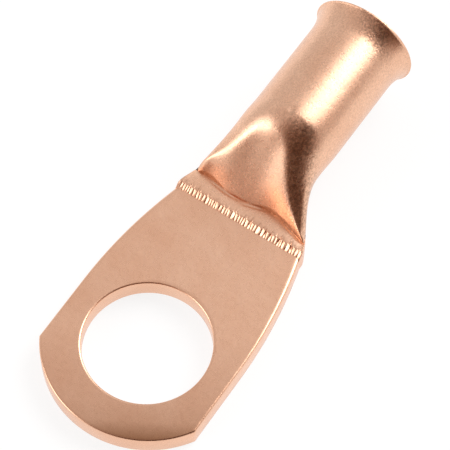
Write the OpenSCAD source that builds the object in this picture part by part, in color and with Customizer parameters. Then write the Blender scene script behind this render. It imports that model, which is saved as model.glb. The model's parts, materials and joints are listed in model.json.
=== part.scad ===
// Copper cable lug, formed from one length of copper tube.
// One end stays round, with a belled mouth, and takes the stripped wire. The other end is pressed
// flat into a palm with a hole for a stud. The flattened tube has a stepped edge where the press
// stopped, a short flat band behind it, and a sloping facet that rises to the round barrel.
// Axes: X runs along the lug toward the mouth, Z is up from the palm. The origin is the centre of
// the stud hole on the underside of the palm. All sizes are millimetres.

/* [Palm] */
// Distance from the centre of the stud hole to the rounded end
palm_end = 8.2; // [6.5:0.1:12]
// Width across the parallel sides
palm_w = 14.6; // [12.5:0.1:18]
// Thickness of the pressed palm
palm_t = 1.85; // [1.2:0.05:2.4]
// Radius of the rounded end
end_r = 8.6; // [7.6:0.1:14]
// Distance from the centre of the stud hole to where the sides start to narrow
narrow_x = 2; // [1:0.1:6]

/* [Stud hole] */
// Diameter of the stud hole
stud_hole_d = 10.3; // [4.2:0.1:10.8]

/* [Neck] */
// Distance from the centre of the stud hole to the foot of the pressed step
neck_x = 12.65; // [10.5:0.05:18]
// Width of the palm at the foot of the step
neck_w = 11.75; // [10.4:0.05:12.2]
// Height of the step above the palm
step_h = 0.5; // [0.3:0.05:0.9]
// Length of the step's sloping face along the lug
step_run = 0.4; // [0.2:0.05:0.8]
// Length of the flat band behind the step
band_l = 1.6; // [1.2:0.1:3]
// Half width of the flattened tube at the band
band_half_w = 5.9; // [5.2:0.05:6]
// How far the crease behind the band wanders along the lug
crease_wave = 0.23; // [0:0.01:0.3]
// How far the crease is pulled toward the palm at the right edge
crease_pull = 2; // [0:0.1:2.4]

/* [Shear marks on the step] */
// Number of marks across the step
mark_count = 43; // [20:1:60]
// Depth of the deepest mark
mark_depth = 0.09; // [0.03:0.01:0.15]

/* [Rise] */
// Length of the sloping facet, from the band to the top of the barrel
rise_l = 4.8; // [4:0.1:8]
// Length over which the flattened sides draw in to the barrel
draw_l = 4.4; // [3:0.1:6]
// How far the facet curls up at its sides, as a shallow valley
valley = 2.2; // [0:0.1:3]
// Blend between the facet and the shoulders of the tube
shoulder = 1.2; // [0.4:0.1:1.6]

/* [Barrel] */
// Outside diameter of the barrel
barrel_d = 7.8; // [7:0.1:9]
// Wall of the tube
tube_wall = 0.95; // [0.7:0.05:1.1]
// Height of the barrel's axis above the underside of the palm
axis_h = 5; // [4.4:0.1:6]
// Length of the round barrel, belled mouth included
barrel_l = 10.6; // [8:0.5:25]
// Length of the belled mouth
bell_l = 2.2; // [1:0.1:3]
// How far the belled mouth stands out from the barrel
bell_flare = 0.6; // [0.2:0.05:0.9]

/* [Hidden] */

// Half sizes and heights
palm_half = palm_w / 2;
barrel_r = barrel_d / 2;
bore_r = barrel_r - tube_wall;
band_z = palm_t + step_h;

// Slope of the facet, and the wall under it measured straight down
rise_slope = (axis_h + barrel_r - band_z) / rise_l;
slope_wall = tube_wall * sqrt(1 + pow(rise_slope, 2));

// Stations along the lug; the facet's blend runs out before the round barrel starts
crease_x = neck_x + step_run + band_l;
barrel_x = crease_x + rise_l + shoulder / rise_slope;
mouth_x = barrel_x + barrel_l;
bell_x = mouth_x - bell_l;
end_centre_x = end_r - palm_end;

// Radius of the arcs that narrow the palm
neck_drop = palm_half - neck_w / 2;
narrow_l = neck_x - narrow_x;
narrow_r = (pow(narrow_l, 2) + pow(neck_drop, 2)) / (2 * neck_drop);

// Small laps that let one shape run into the next
lap = 0.2;
skin_lap = 0.03;
sharp = 0.001;

// Least height of the hollow, where it closes toward the palm
slit = 0.1;

// Wave of the crease: its pitch across the lug, the place of its peak, and its middle as a share
crease_pitch = 6.4;
crease_peak = -2;
crease_middle = 0.45;

// How late the pull on the crease sets in, as a power of the distance from the middle
pull_power = 9;

// How fast the valley opens and closes along the rise, as a power, and the share of the rise in which
// the blend of the shoulders grows to its full size
valley_power = 0.7;
blend_share = 0.2;

// Shallowest shear mark as a share of the deepest, and the turn that scatters the depths
mark_least = 0.3;
mark_turn = 137;

// Fineness: points around the skin, the angle its folds take, stations along the rise, round parts
ring_n = 64;
fold_a = 22.5;
rise_n = 20;
bell_n = 8;
round_fn = 128;
arc_fn = 256;

function mix(a, b, t) = a + (b - a) * t;
function ease(t) = let (c = max(0, min(1, t))) c * c * (3 - 2 * c);
function soft_min(a, b, k) = let (h = max(0, k - abs(a - b)) / k) min(a, b) - h * h * k / 4;

// The crease behind the band wanders in one soft wave, and is pulled toward the palm at one edge
function crease_at(y) =
    crease_x + crease_wave * (cos(360 * (y - crease_peak) / crease_pitch) - crease_middle)
        - crease_pull * pow(max(0, -y / band_half_w), pull_power);

// Angle a around the tube, measured from the nearer side
function from_side(a) = min(a % 180, 180 - a % 180);

// A point of the flattened tube: flat above and below, with a round fold at each side
function flat_point(a, half_w, half_h) =
    let (near = from_side(a), side = cos(a) < 0 ? -1 : 1, up = a > 180 ? -1 : 1)
    near < fold_a
        ? [side * (half_w - half_h * (1 - cos(90 * near / fold_a))), up * half_h * sin(90 * near / fold_a)]
        : [side * (half_w - half_h) * (90 - near) / (90 - fold_a), up * half_h];

// Direction that the skin faces at angle a, from square in the flattened tube to round in the barrel
function facing(a, t) =
    let (near = from_side(a), fold = mix(90 * min(1, near / fold_a), near, t))
    [cos(a) < 0 ? -cos(fold) : cos(fold), a > 180 ? -sin(fold) : sin(fold)];

// The facet that slopes up from the crease and curls up at its sides
function facet_z(run, y, s) =
    band_z + rise_slope * run + valley * pow(sin(180 * s), valley_power) * pow(y / barrel_r, 2);

// A point of the outer skin, and how far it has turned from flat to round: a is the angle around it,
// s the share of the rise
function rise_point(a, s) =
    let (flat = flat_point(a, band_half_w, band_z / 2),
         start = mix(crease_x, crease_at(flat[0]), ease(sin(a) / sin(fold_a))),
         x = mix(start, barrel_x, s),
         t = ease((x - neck_x - step_run) / draw_l),
         y = mix(flat[0], (barrel_r - skin_lap) * cos(a), t),
         tube_z = mix(band_z / 2 + flat[1], axis_h + (barrel_r - skin_lap) * sin(a), t),
         blend = shoulder * min(1, s / blend_share) + sharp)
    [[x, y, sin(a) > sharp ? soft_min(tube_z, facet_z(x - start, y, s), blend) : tube_z], t];

// The point one wall in from a point of the outer skin; under the lower half of the facet the wall is
// measured straight down
function inner_point(a, s) =
    let (skin_point = rise_point(a, s),
         p = skin_point[0],
         n = facing(a, skin_point[1]),
         roof = mix(slope_wall, tube_wall, ease(2 * s - 1)))
    [mix(crease_x, barrel_x, s),
     p[1] - tube_wall * n[0],
     p[2] - (n[1] > 0 ? roof * sqrt(n[1]) : tube_wall * n[1])];

// A point of the hollow, whose roof stays clear of its floor
function hollow_point(a, s) =
    let (p = inner_point(a, s), floor_z = inner_point(360 - a, s)[2])
    [p[0], p[1], a > 0 && a < 180 ? max(p[2], floor_z + slit) : p[2]];

// A point of the flat stretch at station x, no higher than top
function band_point(a, x, top) =
    let (flat = flat_point(a, band_half_w, band_z / 2)) [x, flat[0], min(band_z / 2 + flat[1], top)];

angles = [for (i = [0:ring_n - 1]) i * 360 / ring_n];

// Height along the middle of the hollow at station k, and the first station where its walls part
function hollow_height(k) = inner_point(90, k / rise_n)[2] - inner_point(270, k / rise_n)[2];
slit_n = min([for (k = [0:rise_n]) if (hollow_height(k) > 2 * slit) k]);

// Faces that close a ring whose first point is number k: strips between its upper and lower points
function cap_faces(k) =
    let (half = ring_n / 2)
    [for (i = [0:half - 1])
        let (up = k + i, up_next = up + 1, low = k + (ring_n - i) % ring_n, low_next = k + ring_n - i - 1)
        each concat(
            i < half - 1 ? [[up, up_next, low_next]] : [],
            i > 0 ? [[up, low_next, low]] : []
        )];
function flipped(faces) = [for (f = faces) [f[2], f[1], f[0]]];

// A closed skin through rings that all have ring_n points, each quad split along the shoulders
module skin(rings) {
    last = len(rings) - 1;
    polyhedron(
        points = [for (ring = rings) for (p = ring) p],
        faces = concat(
            cap_faces(0),
            flipped(cap_faces(last * ring_n)),
            [for (k = [0:last - 1]) for (i = [0:ring_n - 1])
                let (j = (i + 1) % ring_n, a = k * ring_n, b = a + ring_n, quadrant = floor(4 * i / ring_n))
                each quadrant % 2 == 0
                    ? [[a + i, b + i, b + j], [a + i, b + j, a + j]]
                    : [[a + i, b + i, a + j], [b + i, b + j, a + j]]]
        )
    );
}

// Flattened tube, step, band, facet and shoulders, as one outer skin
module formed_tube() {
    skin(concat(
        [[for (a = angles) band_point(a, neck_x - step_run, palm_t - step_h)]],
        [[for (a = angles) band_point(a, neck_x + step_run, band_z)]],
        [for (k = [0:rise_n]) [for (a = angles) rise_point(a, k / rise_n)[0]]],
        [[for (a = angles) rise_point(a, 1)[0] + [lap, 0, 0]]]
    ));
}

// The tube's inside under the rise, closing to a slit toward the palm
module formed_hollow() {
    skin(concat(
        [for (k = [slit_n:rise_n]) [for (a = angles) hollow_point(a, k / rise_n)]],
        [[for (a = angles) hollow_point(a, 1) + [lap, 0, 0]]]
    ));
}

// Outline of the belled mouth: the radius r grows along an arc to the lip
function bell_points(r) =
    let (arc_r = (pow(bell_l, 2) + pow(bell_flare, 2)) / (2 * bell_flare))
    [for (k = [0:bell_n]) let (run = bell_l * k / bell_n)
        [r + arc_r - sqrt(pow(arc_r, 2) - pow(run, 2)), bell_x + run]];

// Turns children that stand along Z onto the barrel's axis
module along_barrel() {
    translate([0, 0, axis_h]) rotate([0, 90, 0]) children();
}

// Round barrel with its belled outside
module barrel() {
    along_barrel() rotate_extrude($fn = round_fn)
        polygon(concat([[0, barrel_x], [barrel_r, barrel_x]], bell_points(barrel_r), [[0, mouth_x]]));
}

// Bore for the wire, opening with the bell
module bore() {
    along_barrel() rotate_extrude($fn = round_fn)
        polygon(concat(
            [[0, barrel_x], [bore_r, barrel_x]],
            bell_points(bore_r),
            [[bore_r + bell_flare, mouth_x + lap], [0, mouth_x + lap]]
        ));
}

// Pressed palm: a rounded end, parallel sides, then two arcs that narrow it to the neck
module palm() {
    intersection() {
        translate([-palm_end, -palm_half, 0]) cube([palm_end + narrow_x, palm_w, palm_t]);
        union() {
            translate([end_centre_x, 0, 0]) cylinder(r = end_r, h = palm_t, $fn = round_fn);
            translate([end_centre_x, -palm_half, 0]) cube([narrow_l, palm_w, palm_t]);
        }
    }
    intersection() {
        translate([0, -palm_half, 0]) cube([neck_x + lap, palm_w, palm_t]);
        narrowing_arc(palm_half - narrow_r);
        narrowing_arc(narrow_r - palm_half);
    }
}

module narrowing_arc(centre_y) {
    translate([narrow_x, centre_y, 0]) cylinder(r = narrow_r, h = palm_t, $fn = arc_fn);
}

// Row of V cuts down the sloping face of the step
module shear_marks() {
    pitch = 2 * band_half_w / mark_count;
    slope = atan2(step_run, step_h);
    face_l = norm([step_run, step_h]);
    teeth = [for (i = [0:mark_count])
        let (y = i * pitch - band_half_w, share = (1 + sin(i * mark_turn)) / 2)
        each [[mark_depth * mix(mark_least, 1, share), y], [-sharp, y + pitch / 2]]];
    translate([neck_x, 0, palm_t]) rotate([0, slope, 0])
        linear_extrude(height = face_l + lap)
            polygon(concat(teeth, [[-lap, band_half_w + pitch], [-lap, -band_half_w]]));
}

module lug() {
    color("peru") difference() {
        union() {
            palm();
            formed_tube();
            barrel();
        }
        translate([0, 0, -lap]) cylinder(d = stud_hole_d, h = palm_t + 2 * lap, $fn = round_fn);
        shear_marks();
        formed_hollow();
        bore();
    }
}

lug();  // cable_lug
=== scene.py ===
import json
import math

import bmesh
import bpy
import numpy as np
from mathutils import Matrix, Vector


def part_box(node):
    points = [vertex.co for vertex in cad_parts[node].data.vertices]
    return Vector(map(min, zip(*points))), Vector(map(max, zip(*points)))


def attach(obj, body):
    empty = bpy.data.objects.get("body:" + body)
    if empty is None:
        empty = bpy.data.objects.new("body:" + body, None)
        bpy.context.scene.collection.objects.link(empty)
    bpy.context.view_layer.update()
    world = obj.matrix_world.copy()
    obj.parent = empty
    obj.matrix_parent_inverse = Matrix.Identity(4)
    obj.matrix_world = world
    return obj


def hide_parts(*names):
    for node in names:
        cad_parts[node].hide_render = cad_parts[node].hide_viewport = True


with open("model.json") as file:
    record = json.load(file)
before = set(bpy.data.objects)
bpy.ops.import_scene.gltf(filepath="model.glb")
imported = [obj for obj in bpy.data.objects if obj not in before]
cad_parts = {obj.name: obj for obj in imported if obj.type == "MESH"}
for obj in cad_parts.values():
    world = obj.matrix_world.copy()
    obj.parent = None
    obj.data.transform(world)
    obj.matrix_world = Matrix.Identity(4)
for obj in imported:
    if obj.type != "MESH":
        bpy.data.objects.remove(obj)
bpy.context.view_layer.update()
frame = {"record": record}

# All sizes below are millimetres, in the frame of the part; MM turns them into metres
MM = 0.001
low, high = (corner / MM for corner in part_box("cable_lug"))
mounts = {mount["name"]: mount for mount in frame["record"]["mounts"]}
HOLE_R = mounts["stud_hole"]["dims"]["r_mm"]
PALM_T = mounts["stud_hole"]["dims"]["length_mm"]
BORE_R = mounts["wire_barrel"]["dims"]["r_mm"]
AXIS_H = mounts["wire_barrel"]["pos_m"][2] / MM
MOUTH_X = high.x
PALM_END = -low.x
PALM_HALF = high.y

# Palm: round at its end, straight up to NARROW_X, then narrower to the neck.
# It reaches LAP further, into the band
END_R = 8.6
NARROW_X = 2.0
NECK_X = 12.65
NECK_HALF = 5.875
LAP = 0.6
EDGE_R = 0.16
FOLD_EDGE_R = 0.28
FOLD_EDGE_X = 1.0
FOOT_EDGE_R = 0.06
HOLE_EDGE_R = 0.16

# Step up from the palm to a flat band
STEP_H = 0.5
STEP_RUN = 0.4
STEP_EDGE_R = 0.09
STEP_TOP_X = NECK_X + STEP_RUN
BAND_L = 1.6
BAND_HALF = 5.9
BAND_Z = PALM_T + STEP_H
CORNER_R = 0.22

# Crease behind the band: it wanders across the lug, and is pulled toward the palm at one end
CREASE_X = STEP_TOP_X + BAND_L
CREASE_WAVE = 0.23
CREASE_MIDDLE = 0.45
CREASE_PITCH = 6.4
CREASE_PEAK = -2.0
CREASE_PULL = 2.0
PULL_POWER = 9

# The crease lies in a shallow groove, which fades toward the band's two ends
GROOVE = 0.13
GROOVE_L = 0.6
GROOVE_FADE = 0.6

# Short furrows beside the crease: middle across the lug, half length, slant
WRINKLES = ((2.2, 1.6, 0.10), (-3.9, 1.3, -0.12), (-0.6, 1.2, 0.06))
WRINKLE_DEPTH = 0.022
WRINKLE_GAP = 0.25
WRINKLE_L = 0.09

# Shear marks on the step, deeper toward one end of it, and shallower at its foot
MARKS = 43
MARK_DEPTH = 0.088
MARK_DEEP_END = 1.4
MARK_SHALLOW_END = 0.8
MARK_RAMP = 0.75
MARK_FADE = 0.15
# Waves that make the marks uneven in width: size, pitch, start
MARK_WAVES = ((0.25, 0.61, 1.0), (0.2, 1.37, 0.0))
# Spans that each mark's own depth, run onto the band and slant are drawn from
MARK_DEPTHS = (0.45, 1.0)
MARK_RUNS = (0.45, 1.1)
MARK_SLANTS = (-0.08, 0.08)
MARK_SEED = 6
MARK_FOOT_SHARE = 0.35
CUTTER_T = 0.3
CUTTER_CLEAR = 0.012
CUTTER_OVERHANG = 0.05
CUTTER_TURN = 2.5

# Rise from the band to the barrel: over DRAW_L the tube gets its round sides, over LIFT_L its height
WALL = 0.95
BARREL_R = BORE_R + WALL
DRAW_L = 5.6
DRAW_POWER = 0.7
LIFT_L = 7.2
LIFT_POWER = 0.68
RISE_L = 4.4
RISE_H = AXIS_H + BARREL_R - BAND_Z
BARREL_X = STEP_TOP_X + LIFT_L

# Dent in the upper face of the rise: as wide as the band at the crease, and narrowest from the
# share DENT_END of the rise on
CROWN_POWER = 1.06
CROWN_BLEND = 0.28
CROWN_BLEND_START = 0.25
DENT_HALF = 2.5
DENT_HALF_LEAST = 0.3
DENT_END = 0.95
DENT_POWER = 1.65
DENT_UNEVEN = 0.12
DENT_SHIFT = -0.05
DENT_SKEW = -0.285
DENT_FOOT_L = 0.5
DENT_SOFT = 0.65

# Wall under the dent, and the least height of the hollow below it
SLOPE_WALL = WALL * 1.5
SLIT = 0.1

# Barrel, which lies a little askew, and its belled mouth
SWAY = 0.25
SWAY_L = 8.0
BARREL_SHIFT = 0.04
BARREL_SHIFT_L = 5.0
BARREL_LEAN = 0.012
BELL_L = 2.2
BELL_FLARE = 0.6
BELL_X = MOUTH_X - BELL_L
BELL_ARC_R = (BELL_L**2 + BELL_FLARE**2) / (2 * BELL_FLARE)
LIP_R = 0.14

# Fineness of the meshes
AROUND = 256
FOLD = math.radians(22.5)
BAND_ROWS = 34
RISE_ROWS = 90
ROW_POWER = 1.5
BARREL_ROWS = 26
BELL_ROWS = 22
LIP_ROWS = 6
BORE_ROWS = 12
HOLLOW_ROWS = 44
PALM_SIDE_POINTS = 40
NARROWING_POINTS = 70
NECK_POINTS = 60
END_POINTS = 160
EDGE_ROWS = 5
FACE_SHARES = (0.03, 0.09, 0.2, 0.35, 0.5, 0.65, 0.8, 0.91, 0.97)
MARK_COLUMNS = 12
SLOPE_STATIONS = np.linspace(-0.02, 1, 8)
BAND_STATIONS = (1.12, 1.3, 1.55, 1.85, 2.1)
SMOOTH_ANGLE = math.radians(32)
TINY = 0.001


def mix(a, b, t):
    return a + (b - a) * t


def ease(t):
    t = np.clip(t, 0, 1)
    return t * t * (3 - 2 * t)


def soft_min(a, b, k):
    """The lower of a and b, rounded where they differ by less than k."""
    h = np.maximum(0, k - np.abs(a - b)) / k
    return np.minimum(a, b) - h * h * k / 4


def unit(v):
    return v / np.linalg.norm(v, axis=-1)[..., None]


# Sections of the tube: one point for each of these angles, which start at +Y and turn upward

ANGLES = np.arange(AROUND) * 2 * np.pi / AROUND
SIDE = np.where(np.cos(ANGLES) < 0, -1, 1)
UPPER = np.where(np.sin(ANGLES) > -1e-9, 1, -1)
NEAR = np.minimum(ANGLES % np.pi, np.pi - ANGLES % np.pi)


def crease_at(y):
    """Station of the crease behind the band, which wanders across the lug."""
    wave = np.cos(2 * np.pi * (y - CREASE_PEAK) / CREASE_PITCH) - CREASE_MIDDLE
    pull = np.maximum(0, -y / BAND_HALF) ** PULL_POWER
    return CREASE_X + CREASE_WAVE * wave - CREASE_PULL * pull


def flat_ring(half_w, half_h, corner):
    """Section of the flattened tube about its middle: flat above and below, its corners rounded."""
    side = half_h - corner
    path = np.minimum(1, NEAR / FOLD) * (side + corner * np.pi / 2)
    turn = np.clip((path - side) / corner, 0, np.pi / 2)
    along = np.maximum(0, NEAR - FOLD) / (np.pi / 2 - FOLD)
    folded_y = half_w - corner * (1 - np.cos(turn))
    flat_y = (half_w - corner) * (1 - along)
    z = np.where(path < side, path, side + corner * np.sin(turn))
    return SIDE * np.where(NEAR < FOLD, folded_y, flat_y), UPPER * z


def tube_section(x):
    """The undented tube at stations x, one for each angle, and how round it is there."""
    corner = mix(CORNER_R, BAND_Z / 2, ease((x - STEP_TOP_X) / BAND_L))
    flat_y, flat_z = flat_ring(BAND_HALF, BAND_Z / 2, corner)
    t = ease((x - STEP_TOP_X) / DRAW_L) ** DRAW_POWER
    lift = ease((x - STEP_TOP_X) / LIFT_L) ** LIFT_POWER
    y = mix(flat_y, BARREL_R * np.cos(ANGLES), t)
    z = mix(BAND_Z / 2 + flat_z, AXIS_H + BARREL_R * np.sin(ANGLES), lift)
    return y, z, t


def crease_stations():
    """Station where the rise starts at each angle: at the crease above, straight across below."""
    flat_y, _ = flat_ring(BAND_HALF, BAND_Z / 2, BAND_Z / 2)
    return mix(CREASE_X, crease_at(flat_y), ease(np.sin(ANGLES) / math.sin(FOLD)))


def wrinkles(x, y):
    """Depth of the short furrows that the fold leaves on the band, x from the crease."""
    depth = 0
    for middle, half, slant in WRINKLES:
        along = np.clip(1 - ((y - middle) / half) ** 2, 0, 1)
        off = (x + WRINKLE_GAP + slant * (y - middle)) / WRINKLE_L
        depth = depth + WRINKLE_DEPTH * along * np.exp(-(off**2))
    return depth


def band_rings():
    """The step's slope, its rounded top edge and the flat band up to the crease."""
    end = crease_stations()
    slope = STEP_RUN / STEP_H
    rings = []

    def ring(x, top):
        y, z, _ = tube_section(x)
        level = ease((BAND_HALF - np.abs(y)) / GROOVE_FADE)
        valley = GROOVE * np.exp((x - end) / GROOVE_L) * level + wrinkles(x - end, y)
        rings.append(np.stack([x, y, np.minimum(z, top - valley)], 1))

    for top in (PALM_T - STEP_H, PALM_T, PALM_T + STEP_H / 2):
        ring(np.full(AROUND, NECK_X + (top - PALM_T) * slope), top)
    for turn in (0.0, 0.25, 0.5, 0.75, 1.0):
        x = np.full(AROUND, STEP_TOP_X + STEP_EDGE_R * (turn * 2 - 1))
        ring(x, BAND_Z - STEP_EDGE_R * (1 - turn) ** 2 / slope)
    for share in np.linspace(0.12, 0.98, BAND_ROWS):
        ring(mix(STEP_TOP_X + STEP_EDGE_R, end, share), BAND_Z)
    return rings


def dent_left(y, middle_y, run, s):
    """Share of the dent's depth at each point: all of it at middle_y, none past its edges."""
    half = max(DENT_HALF_LEAST, DENT_HALF * (1 - min(1, s / DENT_END) ** DENT_POWER))
    half = half + (BAND_HALF - half) * np.exp(-run / DENT_FOOT_L)
    across = (y - middle_y) / (half * (1 + DENT_UNEVEN * np.sign(y - middle_y)))
    return -soft_min(0, across**2 - 1, DENT_SOFT) / -soft_min(0, -1, DENT_SOFT)


def rise_ring(s):
    """Ring of the outer skin at the share s of the rise, and how round each of its points is."""
    start = crease_stations()
    x = mix(start, BARREL_X, s)
    y, tube_z, t = tube_section(x)
    run = x - start
    climb = np.clip((run + DENT_SKEW * y * s) / RISE_L, 0, 1)
    middle = BAND_Z - GROOVE + (RISE_H + GROOVE) * (1 - (1 - climb) ** CROWN_POWER)
    middle_y = DENT_SHIFT * s
    top = slice(0, AROUND // 2 + 1)
    order = np.argsort(y[top])
    crown = np.interp(middle_y, y[top][order], tube_z[top][order])
    blend = CROWN_BLEND * float(ease(s / CROWN_BLEND_START)) + TINY
    depth = np.maximum(0, crown - soft_min(crown, middle, blend))
    dented = tube_z - depth * dent_left(y, middle_y, run, s)
    return np.stack([x, y, np.where(np.sin(ANGLES) > TINY, dented, tube_z)], 1), t


def hollow_ring(s):
    """Ring of the inside of the tube at the share s of the rise."""
    outer, t = rise_ring(s)
    # the way each point's wall faces, between the flattened section's and the round one's
    faces_flat = np.minimum(1, NEAR / FOLD) * np.pi / 2
    facing = mix(faces_flat, NEAR, t)
    ny, nz = SIDE * np.cos(facing), UPPER * np.sin(facing)
    roof = mix(SLOPE_WALL, WALL, float(ease(2 * s - 1)))
    y = outer[:, 1] - WALL * ny
    z = outer[:, 2] - np.where(nz > 0, roof * np.sqrt(np.maximum(nz, 0)), WALL * nz)
    floor = z[(AROUND - np.arange(AROUND)) % AROUND]
    z = np.where(np.sin(ANGLES) > TINY, np.maximum(z, floor + SLIT), z)
    return np.stack([np.full(AROUND, mix(CREASE_X, BARREL_X, s)), y, z], 1)


def round_ring(x, r):
    return np.stack([np.full(AROUND, x), r * np.cos(ANGLES), AXIS_H + r * np.sin(ANGLES)], 1)


def bell_profile(r):
    """Stations and radii along the belled mouth, for a surface of radius r before the bell."""
    runs = np.linspace(0, BELL_L, BELL_ROWS)
    return [(BELL_X + run, r + BELL_ARC_R - math.sqrt(BELL_ARC_R**2 - run**2)) for run in runs]


def mouth_rings():
    """Barrel, belled mouth, rounded lip and the bore back to the rise."""
    rows = [(x, BARREL_R) for x in np.linspace(BARREL_X, BELL_X, BARREL_ROWS)[1:-1]]
    outside = bell_profile(BARREL_R)
    inside = bell_profile(BORE_R)[::-1]
    rows += [p for p in outside if p[0] < MOUTH_X - LIP_R]
    lip_out, lip_in = outside[-1][1], inside[0][1]
    for turn in np.linspace(0, math.pi / 2, LIP_ROWS):
        x = MOUTH_X - LIP_R * (1 - math.sin(turn))
        rows.append((x, lip_out - LIP_R * (1 - math.cos(turn))))
    rows.append((MOUTH_X, (lip_out + lip_in) / 2))
    for turn in np.linspace(math.pi / 2, 0, LIP_ROWS):
        x = MOUTH_X - LIP_R * (1 - math.sin(turn))
        rows.append((x, lip_in + LIP_R * (1 - math.cos(turn))))
    rows += [p for p in inside if p[0] < MOUTH_X - LIP_R]
    rows += [(x, BORE_R) for x in np.linspace(BELL_X, BARREL_X, BORE_ROWS)[1:]]
    return [round_ring(x, r) for x, r in rows]


def lean(points):
    """The barrel leans a little to one side of the palm, and the rise sways to the other."""
    points = points.copy()
    past = points[:, 0] - STEP_TOP_X
    u = np.clip(past / SWAY_L, 0, 1)
    points[:, 1] += SWAY * (4 * u * (1 - u)) ** 2 + BARREL_SHIFT * ease(past / BARREL_SHIFT_L)
    points[:, 1] -= BARREL_LEAN * np.maximum(0, points[:, 0] - CREASE_X)
    return points


def tube_rings():
    """All rings of the tube: its outside from the step to the mouth, then its inside back."""
    rings = band_rings()
    rings += [rise_ring(s)[0] for s in np.linspace(0, 1, RISE_ROWS) ** ROW_POWER]
    rings += mouth_rings()
    hollow = [hollow_ring(float(s)) for s in np.linspace(1, 0, HOLLOW_ROWS)[1:]]
    top, bottom = AROUND // 4, 3 * AROUND // 4
    rings += [ring for ring in hollow if ring[top, 2] - ring[bottom, 2] > 2 * SLIT]
    return rings


def new_mesh(name, points, faces):
    mesh = bpy.data.meshes.new(name)
    mesh.from_pydata((np.asarray(points) * MM).tolist(), [], faces)
    mesh.validate()
    obj = bpy.data.objects.new(name, mesh)
    bpy.context.scene.collection.objects.link(obj)
    return obj


def strip_cap(k, n, flip):
    """Faces that close a ring of n points, in strips between its upper and lower halves."""
    faces = []
    half = n // 2
    for i in range(half):
        a, b = k + i, k + i + 1
        c, d = k + n - i - 1, k + (n - i) % n
        face = [a, b, c, d]
        if i == 0:
            face = [a, b, c]
        elif i == half - 1:
            face = [a, b, d]
        faces.append(face[::-1] if flip else face)
    return faces


def ring_skin(name, rings):
    """A closed skin through rings of equal length, capped at both ends."""
    n = len(rings[0])
    faces = strip_cap(0, n, False)
    for k in range(len(rings) - 1):
        a, b = k * n, (k + 1) * n
        faces += [[a + i, b + i, b + (i + 1) % n, a + (i + 1) % n] for i in range(n)]
    faces += strip_cap((len(rings) - 1) * n, n, True)
    return new_mesh(name, np.concatenate(rings), faces)


# Palm: a closed skin, in which each point of the outline has a partner on the hole


def palm_outline():
    """Points of the palm's outline, walked once around."""
    end_centre = END_R - PALM_END
    corner_x = end_centre - math.sqrt(END_R**2 - PALM_HALF**2)
    drop = PALM_HALF - NECK_HALF
    run = NECK_X - NARROW_X
    narrow_r = (run**2 + drop**2) / (2 * drop)
    last_x = NECK_X + LAP
    straight = np.linspace(corner_x, NARROW_X, PALM_SIDE_POINTS)[:-1]
    upper = [np.array([x, PALM_HALF]) for x in straight]
    # no points close to the hidden corner, so that the rounding cannot fold over itself
    for x in list(np.linspace(NARROW_X, NECK_X, NARROWING_POINTS)) + [last_x]:
        y = PALM_HALF - narrow_r + math.sqrt(narrow_r**2 - (x - NARROW_X) ** 2)
        upper.append(np.array([x, y]))
    neck_y = upper[-1][1] - LAP
    neck = [np.array([last_x, y]) for y in np.linspace(neck_y, -neck_y, NECK_POINTS)]
    lower = [np.array([p[0], -p[1]]) for p in upper[::-1]]
    reach = math.atan2(PALM_HALF, corner_x - end_centre)
    arc = []
    for turn in np.linspace(-reach, reach - 2 * math.pi, END_POINTS)[1:-1]:
        arc.append(np.array([end_centre + END_R * math.cos(turn), END_R * math.sin(turn)]))
    return np.array(upper + neck + lower + arc)


def inward_mitres(outline):
    """The step at each point of the outline that moves both edges there inward by one."""
    before, after = np.roll(outline, 1, 0), np.roll(outline, -1, 0)
    first, second = unit(outline - before), unit(after - outline)
    n1 = np.stack([first[:, 1], -first[:, 0]], 1)
    n2 = np.stack([second[:, 1], -second[:, 0]], 1)
    return (n1 + n2) / (1 + (n1 * n2).sum(1))[:, None]


def palm_rows(outline):
    """Rows of points around the palm: up the hole's wall, out over the top, down and back below."""
    inward = inward_mitres(outline)
    away = unit(outline)
    n = len(outline)
    rows = []

    def row(xy, z):
        rows.append(np.column_stack([xy, np.broadcast_to(z, n)]))

    # the long edges are folds of the pressed tube, rounder than the cut end
    fold = ease((outline[:, 0] - FOLD_EDGE_X) / (NECK_X - FOLD_EDGE_X))
    edge_r = mix(EDGE_R, FOLD_EDGE_R, fold)
    quarter = np.linspace(0, math.pi / 2, EDGE_ROWS)

    for turn in quarter:
        widening = HOLE_EDGE_R * (1 - math.sin(turn))
        row(away * (HOLE_R + widening), HOLE_EDGE_R * (1 - math.cos(turn)))
    for turn in quarter[::-1]:
        widening = HOLE_EDGE_R * (1 - math.sin(turn))
        row(away * (HOLE_R + widening), PALM_T - HOLE_EDGE_R * (1 - math.cos(turn)))
    inner = away * (HOLE_R + HOLE_EDGE_R)
    outer = outline + inward * edge_r[:, None]
    for share in FACE_SHARES:
        row(mix(inner, outer, share), PALM_T)
    for turn in quarter[::-1]:
        inset = (edge_r * (1 - math.cos(turn)))[:, None]
        row(outline + inward * inset, PALM_T - edge_r * (1 - math.sin(turn)))
    for turn in quarter:
        foot = outline + inward * FOOT_EDGE_R * (1 - math.cos(turn))
        row(foot, FOOT_EDGE_R * (1 - math.sin(turn)))
    outer = outline + inward * FOOT_EDGE_R
    for share in FACE_SHARES[::-1]:
        row(mix(inner, outer, share), 0)
    return rows


def palm_plate():
    outline = palm_outline()
    rows = palm_rows(outline)
    n = len(outline)
    m = len(rows)
    faces = []
    for k in range(m):
        a, b = k * n, ((k + 1) % m) * n
        faces += [[a + i, a + (i + 1) % n, b + (i + 1) % n, b + i] for i in range(n)]
    return new_mesh("palm", np.concatenate(rows), faces)


# Shear marks on the step: a slab is cut away, and its underside carries the marks


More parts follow.
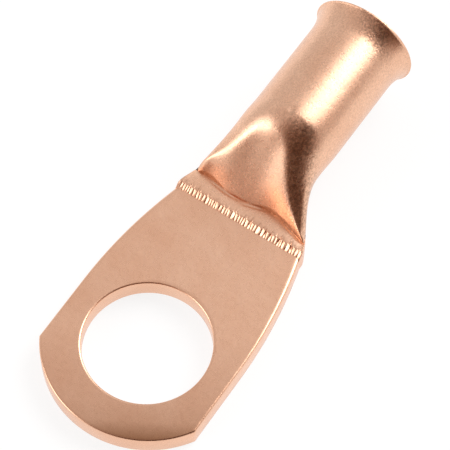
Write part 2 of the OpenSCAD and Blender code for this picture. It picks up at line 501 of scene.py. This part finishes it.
def mark_profile(rng, y):
    """Depth of the cut at each y, and how far the mark there runs onto the band and slants."""
    phase = y / (2 * BAND_HALF / MARKS)
    place = phase + sum(size * np.sin(phase * pitch + start) for size, pitch, start in MARK_WAVES)
    saw = place % 1
    saw = np.where(saw < MARK_RAMP, saw / MARK_RAMP, (1 - saw) / (1 - MARK_RAMP))
    which = np.floor(place).astype(int)
    which = which - which.min()
    count = which.max() + 1
    depths = rng.uniform(*MARK_DEPTHS, count)[which]
    runs = rng.uniform(*MARK_RUNS, count)[which]
    slants = rng.uniform(*MARK_SLANTS, count)[which]
    deeper = mix(MARK_DEEP_END, MARK_SHALLOW_END, (y + BAND_HALF) / (2 * BAND_HALF))
    cut = MARK_DEPTH * depths * saw * deeper
    return cut * ease((BAND_HALF - np.abs(y)) / MARK_FADE), runs, slants


def mark_station(s, runs):
    """Place, outward way and share of each mark's depth at s: up to 1 the slope, then the band."""
    length = math.hypot(STEP_RUN, STEP_H)
    up = np.array([STEP_RUN, 0, STEP_H]) / length
    out = np.array([-STEP_H, 0, STEP_RUN]) / length
    if s <= 1:
        place = np.array([NECK_X, 0, PALM_T]) + up * length * s
        return place, out, np.ones(len(runs)) * min(1, MARK_FOOT_SHARE + s)
    place = np.array([STEP_TOP_X + (s - 1) * length, 0, BAND_Z])
    normal = unit(mix(out, np.array([0, 0, 1.0]), min(1, (s - 1) * CUTTER_TURN)))
    return place, normal, np.sqrt(np.clip(1 - (s - 1) / runs, 0, 1))


def slab_faces(m, n):
    """Faces of a closed slab between two grids of m rows and n columns, the marked one first."""
    faces = []
    top = m * n
    end = (m - 1) * n
    for k in range(m - 1):
        for i in range(n - 1):
            a, b = k * n + i, (k + 1) * n + i
            faces.append([a, a + 1, b + 1, b][::-1])
            faces.append([top + a, top + a + 1, top + b + 1, top + b])
    for i in range(n - 1):
        faces.append([i, i + 1, top + i + 1, top + i])
        faces.append([end + i, end + i + 1, top + end + i + 1, top + end + i][::-1])
    for k in range(m - 1):
        a, b = k * n, (k + 1) * n
        faces.append([a, b, top + b, top + a][::-1])
        faces.append([a + n - 1, b + n - 1, top + b + n - 1, top + a + n - 1])
    return faces


def mark_cutter(rng):
    columns = MARKS * MARK_COLUMNS
    half = BAND_HALF + CUTTER_OVERHANG
    y = np.linspace(-half, half, columns)
    cut, runs, slants = mark_profile(rng, y)
    nothing = np.zeros(columns)
    marked_rows, plain_rows = [], []
    stations = [*SLOPE_STATIONS, *BAND_STATIONS]
    for s in stations:
        place, normal, share = mark_station(s, runs)
        depth = cut * share - CUTTER_CLEAR
        base = place[None, :] + np.column_stack([nothing, y + slants * s, nothing])
        marked_rows.append(base - normal[None, :] * depth[:, None])
        plain_rows.append(base + normal[None, :] * CUTTER_T)
    points = np.concatenate(marked_rows + plain_rows)
    return new_mesh("mark_cutter", points, slab_faces(len(stations), columns))


def outward(obj):
    """Turns the faces of a closed mesh outward."""
    bm = bmesh.new()
    bm.from_mesh(obj.data)
    bmesh.ops.recalc_face_normals(bm, faces=bm.faces)
    bm.to_mesh(obj.data)
    bm.free()


def combine(obj, other, operation):
    """Adds the other closed mesh to obj, or takes it away, and removes it."""
    outward(other)
    modifier = obj.modifiers.new("combine", "BOOLEAN")
    modifier.operation = operation
    modifier.solver = "MANIFOLD"
    modifier.object = other
    combined = obj.evaluated_get(bpy.context.evaluated_depsgraph_get())
    mesh = bpy.data.meshes.new_from_object(combined)
    obj.modifiers.clear()
    obj.data = mesh
    bpy.data.objects.remove(other)


def build_lug():
    rng = np.random.default_rng(MARK_SEED)
    lug = ring_skin("lug", [lean(ring) for ring in tube_rings()])
    outward(lug)
    combine(lug, palm_plate(), "UNION")
    combine(lug, mark_cutter(rng), "DIFFERENCE")
    for polygon in lug.data.polygons:
        polygon.use_smooth = True
    lug.data.set_sharp_from_angle(angle=SMOOTH_ANGLE)
    return lug


# Materials

WHITE = (1, 1, 1, 1)
# Copper wanders between two tones: position on the ramp, colour
COPPER_TONES = (
    (0.3, (0.90, 0.53, 0.355, 1)),
    (0.7, (0.95, 0.59, 0.41, 1)),
)
# Painted shade: upper faces are darker toward the palm's end. The way across the lug, and where it
# starts and is full
PAINTED_SHADE_WAY = (-0.85, -0.5, 0)
PAINTED_SHADE_START = -1
PAINTED_SHADE_FULL = 8
PAINTED_SHADE_TONES = (
    (0.0, WHITE),
    (0.66, (0.87, 0.85, 0.84, 1)),
    (0.84, (0.77, 0.73, 0.70, 1)),
    (1.0, (0.42, 0.34, 0.27, 1)),
)
# Fine speckle all over the tube, and a share of it on the palm
SPECKLE_SPAN = (0.35, 0.65)
SPECKLE = (0.82, 1.06)
PALM_GRAIN = 0.2
GRAIN_FULL_X = CREASE_X + 0.6
# Coarse grain in two places, each given by how far it lies along the way set below. Both lie where a
# dark reflection falls, and the grain's colour dots there are painted glints and painted shade
GRAIN_GLINTS_WAY = (-0.5, 0.86, 0)
RISE_GRAIN_GLINTS_AT = -11.1
BELL_GRAIN_GLINTS_AT = -16.3
GRAIN_GLINTS_HALF = 1.8
GRAIN_GLINTS_CORE = 0.3
GRAIN_GLINTS_START_X = NECK_X + 0.8
GRAIN_GLINTS_END_X = 21.0
GRAIN_GLINTS_END_L = 1.6
BELL_GRAIN_GLINTS_L = 1.0
COARSE_SPAN = (0.38, 0.62)
# Colour factors of the coarse grain: painted glints and painted shade in the dark reflected patches
GLINT_AND_SHADE_DOTS = (0.58, 1.12)
# Brushing along the lug: bumps in each millimetre along it, across it and upward
BRUSH = (0.5, 9, 9)
ROUGHNESS = (0.22, 0.34)
SPECKLE_BUMP = 0.014
COARSE_BUMP = 0.024
WAVY_BUMP = 0.012
BRUSH_BUMP = 0.0015

# Sockets of a Mix node for colours; its names stand for the sockets of other kinds too
MIX_FIRST = 6
MIX_SECOND = 7
MIX_RESULT = 2


def node(tree, kind, **inputs):
    made = tree.nodes.new(kind)
    for name, value in inputs.items():
        made.inputs[name.replace("_", " ")].default_value = value
    return made


def feed(tree, value, socket):
    """Sets a socket to a number, or links it to another node's output."""
    if isinstance(value, (int, float)):
        socket.default_value = value
    else:
        tree.links.new(value, socket)


def math_node(tree, operation, first, second, clamp=False):
    made = tree.nodes.new("ShaderNodeMath")
    made.operation = operation
    made.use_clamp = clamp
    feed(tree, first, made.inputs[0])
    feed(tree, second, made.inputs[1])
    return made.outputs["Value"]


def reach_toward(tree, vector, way):
    """How far a vector reaches in the given way."""
    made = tree.nodes.new("ShaderNodeVectorMath")
    made.operation = "DOT_PRODUCT"
    made.inputs[1].default_value = way
    tree.links.new(vector, made.inputs[0])
    return made.outputs["Value"]


def part_of(tree, vector, axis):
    made = tree.nodes.new("ShaderNodeSeparateXYZ")
    tree.links.new(vector, made.inputs["Vector"])
    return made.outputs[axis]


def span(tree, source, start, end, first=0.0, last=1.0, smooth=False):
    """Goes from first to last as the source goes from start to end."""
    made = node(tree, "ShaderNodeMapRange", From_Min=start, From_Max=end, To_Min=first, To_Max=last)
    if smooth:
        made.interpolation_type = "SMOOTHSTEP"
    tree.links.new(source, made.inputs["Value"])
    return made.outputs["Result"]


def fade(tree, source, start, end):
    """One before start, easing to nothing at end."""
    return span(tree, source, start, end, 1.0, 0.0, smooth=True)


def colour_ramp(tree, factor, stops):
    """A colour that goes through the stops, each a position and a colour, as the factor grows."""
    made = tree.nodes.new("ShaderNodeValToRGB")
    elements = made.color_ramp.elements
    elements[0].position, elements[0].color = stops[0]
    elements[1].position, elements[1].color = stops[-1]
    for position, colour in stops[1:-1]:
        elements.new(position).color = colour
    tree.links.new(factor, made.inputs["Fac"])
    return made.outputs["Color"]


def multiply_colours(tree, share, first, second):
    """The first colour, multiplied by the second to the given share."""
    made = tree.nodes.new("ShaderNodeMix")
    made.data_type = "RGBA"
    made.blend_type = "MULTIPLY"
    feed(tree, share, made.inputs["Factor"])
    tree.links.new(first, made.inputs[MIX_FIRST])
    tree.links.new(second, made.inputs[MIX_SECOND])
    return made.outputs[MIX_RESULT]


def in_millimetres(tree, metres, factors=(1, 1, 1)):
    """Place on the lug in millimetres, times a factor for each axis."""
    made = node(tree, "ShaderNodeMapping", Scale=[factor / MM for factor in factors])
    tree.links.new(metres, made.inputs["Vector"])
    return made.outputs["Vector"]


def noise(tree, place, size, detail, rough=0.5):
    """Noise, finer for a larger size."""
    made = node(tree, "ShaderNodeTexNoise", Scale=size, Detail=detail, Roughness=rough)
    tree.links.new(place, made.inputs["Vector"])
    return made.outputs["Fac"]


def grain_and_painted_glints(tree, place, station):
    """Where the press stretched the skin and left a coarse grain, and where a dark reflection falls,
    so that the grain's colour dots there are painted glints and painted shade: down the rise, and on
    the bell.
    """
    across = reach_toward(tree, place, GRAIN_GLINTS_WAY)

    def strip(middle):
        away = math_node(tree, "SUBTRACT", across, middle)
        away = math_node(tree, "ABSOLUTE", away, 0)
        return fade(tree, away, GRAIN_GLINTS_HALF * GRAIN_GLINTS_CORE, GRAIN_GLINTS_HALF)

    def after(start, end):
        return math_node(tree, "SUBTRACT", 1, fade(tree, station, start, end))

    before_end = fade(tree, station, GRAIN_GLINTS_END_X - GRAIN_GLINTS_END_L, GRAIN_GLINTS_END_X)
    rise = math_node(tree, "MULTIPLY", strip(RISE_GRAIN_GLINTS_AT), before_end)
    rise = math_node(tree, "MULTIPLY", rise, after(GRAIN_GLINTS_START_X, GRAIN_FULL_X))
    on_bell = after(BELL_X - BELL_GRAIN_GLINTS_L, BELL_X + BELL_GRAIN_GLINTS_L)
    bell = math_node(tree, "MULTIPLY", strip(BELL_GRAIN_GLINTS_AT), on_bell)
    return math_node(tree, "MAXIMUM", rise, bell)


def copper_with_painted_shade(tree, place, normal):
    """Copper of two tones, with painted shade that darkens upper faces toward the palm's end."""
    tone = colour_ramp(tree, noise(tree, place, size=0.35, detail=3), COPPER_TONES)
    # Painted shade: upper faces darken toward the palm's end
    toward = reach_toward(tree, place, PAINTED_SHADE_WAY)
    painted_shade = span(tree, toward, PAINTED_SHADE_START, PAINTED_SHADE_FULL)
    shade_on_top = math_node(tree, "MULTIPLY", painted_shade, part_of(tree, normal, "Z"), clamp=True)
    return multiply_colours(tree, 1, tone, colour_ramp(tree, shade_on_top, PAINTED_SHADE_TONES))


def bumped(tree, layers):
    """Normal of a surface with layers of bumps: pattern, height in millimetres, share or None."""
    normal = None
    for pattern, height, share in layers:
        bump = node(tree, "ShaderNodeBump", Strength=1.0, Distance=height * MM)
        tree.links.new(pattern, bump.inputs["Height"])
        if normal:
            tree.links.new(normal, bump.inputs["Normal"])
        if share:
            tree.links.new(share, bump.inputs["Strength"])
        normal = bump.outputs["Normal"]
    return normal


def copper_material():
    material = bpy.data.materials.new("copper")
    material.use_nodes = True
    tree = material.node_tree
    shader = tree.nodes["Principled BSDF"]
    shader.inputs["Metallic"].default_value = 1
    surface = tree.nodes.new("ShaderNodeTexCoord")
    place = in_millimetres(tree, surface.outputs["Object"])
    brushed_place = in_millimetres(tree, surface.outputs["Object"], BRUSH)
    station = part_of(tree, place, "X")
    on_tube = span(tree, station, NECK_X, GRAIN_FULL_X, first=PALM_GRAIN)
    # Where the coarse grain lies, which is also where its colour paints glints and shade in a dark
    # reflection
    grain_glint_share = grain_and_painted_glints(tree, place, station)

    dots = noise(tree, place, size=7, detail=2, rough=0.7)
    coarse = noise(tree, place, size=5, detail=2, rough=0.75)
    colour = copper_with_painted_shade(tree, place, surface.outputs["Normal"])
    colour = multiply_colours(tree, on_tube, colour, span(tree, dots, *SPECKLE_SPAN, *SPECKLE))
    # Painted glints and painted shade: lighter and darker colour dots where a dark reflection falls
    colour = multiply_colours(tree, grain_glint_share, colour, span(tree, coarse, *COARSE_SPAN, *GLINT_AND_SHADE_DOTS))
    tree.links.new(colour, shader.inputs["Base Color"])

    patchy = noise(tree, place, size=2.2, detail=4)
    tree.links.new(span(tree, patchy, 0, 1, *ROUGHNESS), shader.inputs["Roughness"])

    speckle = noise(tree, place, size=9, detail=3, rough=0.6)
    wavy = noise(tree, place, size=1.1, detail=2)
    brushing = noise(tree, brushed_place, size=1, detail=4)
    layers = (
        (speckle, SPECKLE_BUMP, on_tube),
        (coarse, COARSE_BUMP, grain_glint_share),
        (wavy, WAVY_BUMP, None),
        (brushing, BRUSH_BUMP, None),
    )
    tree.links.new(bumped(tree, layers), shader.inputs["Normal"])
    return material


FLOOR_HALF = 300
FLOOR_GAP = 0.01
FLOOR_COLOUR = (0.2, 0.2, 0.2, 1)
FLOOR_GLOW = 0.84


def floor_material():
    """A floor that takes the shadow, and is near white where it is seen or mirrored."""
    material = bpy.data.materials.new("floor")
    material.use_nodes = True
    tree = material.node_tree
    tree.nodes.clear()
    diffuse = node(tree, "ShaderNodeBsdfDiffuse", Color=FLOOR_COLOUR)
    glow = node(tree, "ShaderNodeEmission", Color=WHITE, Strength=FLOOR_GLOW)
    both = tree.nodes.new("ShaderNodeAddShader")
    tree.links.new(diffuse.outputs["BSDF"], both.inputs[0])
    tree.links.new(glow.outputs["Emission"], both.inputs[1])
    ray = tree.nodes.new("ShaderNodeLightPath").outputs
    seen = math_node(tree, "ADD", ray["Is Camera Ray"], ray["Is Glossy Ray"], clamp=True)
    seen = math_node(tree, "ADD", seen, ray["Is Transmission Ray"], clamp=True)
    surface = tree.nodes.new("ShaderNodeMixShader")
    tree.links.new(seen, surface.inputs["Fac"])
    tree.links.new(diffuse.outputs["BSDF"], surface.inputs[1])
    tree.links.new(both.outputs["Shader"], surface.inputs[2])
    output = tree.nodes.new("ShaderNodeOutputMaterial")
    tree.links.new(surface.outputs["Shader"], output.inputs["Surface"])
    return material


def build_floor():
    h = FLOOR_HALF
    floor = new_mesh("floor", [(-h, -h, 0), (h, -h, 0), (h, h, 0), (-h, h, 0)], [[0, 1, 2, 3]])
    floor.location.z = -FLOOR_GAP * MM
    floor.data.materials.append(floor_material())


# Light: a soft surround with brighter and dimmer patches, and a tint where it is dim

SURROUND = 0.62
DIMMEST = 0.02
DIM_TINT = (1, 0.42, 0.2, 1)
TINT_END = 0.75
# direction, cosine where the patch starts, cosine where it is full, strength added
KEY_LIGHT = ((0.90, -0.41, 0.72), 0.865, 0.985, 4.8)
PALM_END_LIGHT = ((-0.87, 0.84, 0.41), 0.911, 0.972, 2.5)
SIDE_FILL = ((0.386, 0.90, 0.22), 0.60, 0.95, 0.1)
MOUTH_FILL = ((0.85, 0.04, 0.81), 0.863, 0.987, 0.34)
PALM_END_FILL = ((-0.81, 0.23, 0.11), 0.74, 0.99, 0.18)
PALM_END_SHADE = ((-0.89, -0.53, 0.27), 0.30, 0.96, -0.53)
HIGH_SHADE = ((0.07, -0.62, 0.78), 0.90, 0.955, -0.38)
HORIZON = ((0.0, 0.0, 1.0), 0.28, 0.0, 0.05)
PATCHES = (
    KEY_LIGHT,
    PALM_END_LIGHT,
    SIDE_FILL,
    MOUTH_FILL,
    PALM_END_FILL,
    PALM_END_SHADE,
    HIGH_SHADE,
    HORIZON,
)


def build_surround():
    world = bpy.data.worlds.new("studio")
    bpy.context.scene.world = world
    world.use_nodes = True
    tree = world.node_tree
    tree.nodes.clear()
    way = tree.nodes.new("ShaderNodeTexCoord").outputs["Generated"]
    total = SURROUND
    for direction, start, full, strength in PATCHES:
        cosine = reach_toward(tree, way, Vector(direction).normalized())
        patch = span(tree, cosine, start, full, last=strength, smooth=True)
        total = math_node(tree, "ADD", patch, total)
    total = math_node(tree, "MAXIMUM", total, DIMMEST)
    light = tree.nodes.new("ShaderNodeBackground")
    tint = colour_ramp(tree, total, ((0.0, DIM_TINT), (TINT_END, WHITE)))
    tree.links.new(tint, light.inputs["Color"])
    tree.links.new(total, light.inputs["Strength"])
    output = tree.nodes.new("ShaderNodeOutputWorld")
    tree.links.new(light.outputs["Background"], output.inputs["Surface"])


# Camera: its place in millimetres, and the ways its picture's right and top point

CAMERA_PLACE = (-68.34, -53.45, 185.59)
CAMERA_RIGHT = (0.557, -0.8305, -0.0015)
CAMERA_UP = (0.7351, 0.4922, 0.4662)
CAMERA_LENS = 209.4
SENSOR_WIDTH = 36
CLIP_START = 10


def build_camera():
    data = bpy.data.cameras.new("camera")
    data.lens = CAMERA_LENS
    data.sensor_width = SENSOR_WIDTH
    data.clip_start = CLIP_START * MM
    camera = bpy.data.objects.new("camera", data)
    bpy.context.scene.collection.objects.link(camera)
    right, up = Vector(CAMERA_RIGHT).normalized(), Vector(CAMERA_UP).normalized()
    back = right.cross(up).normalized()
    turn = Matrix((right, back.cross(right), back)).transposed().to_4x4()
    camera.matrix_world = Matrix.Translation(Vector(CAMERA_PLACE) * MM) @ turn
    bpy.context.scene.camera = camera


lug = build_lug()
lug.data.materials.clear()
lug.data.materials.append(copper_material())
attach(lug, "root")
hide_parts("cable_lug")
build_floor()
build_surround()
build_camera()
bpy.context.scene.view_settings.view_transform = "Standard"
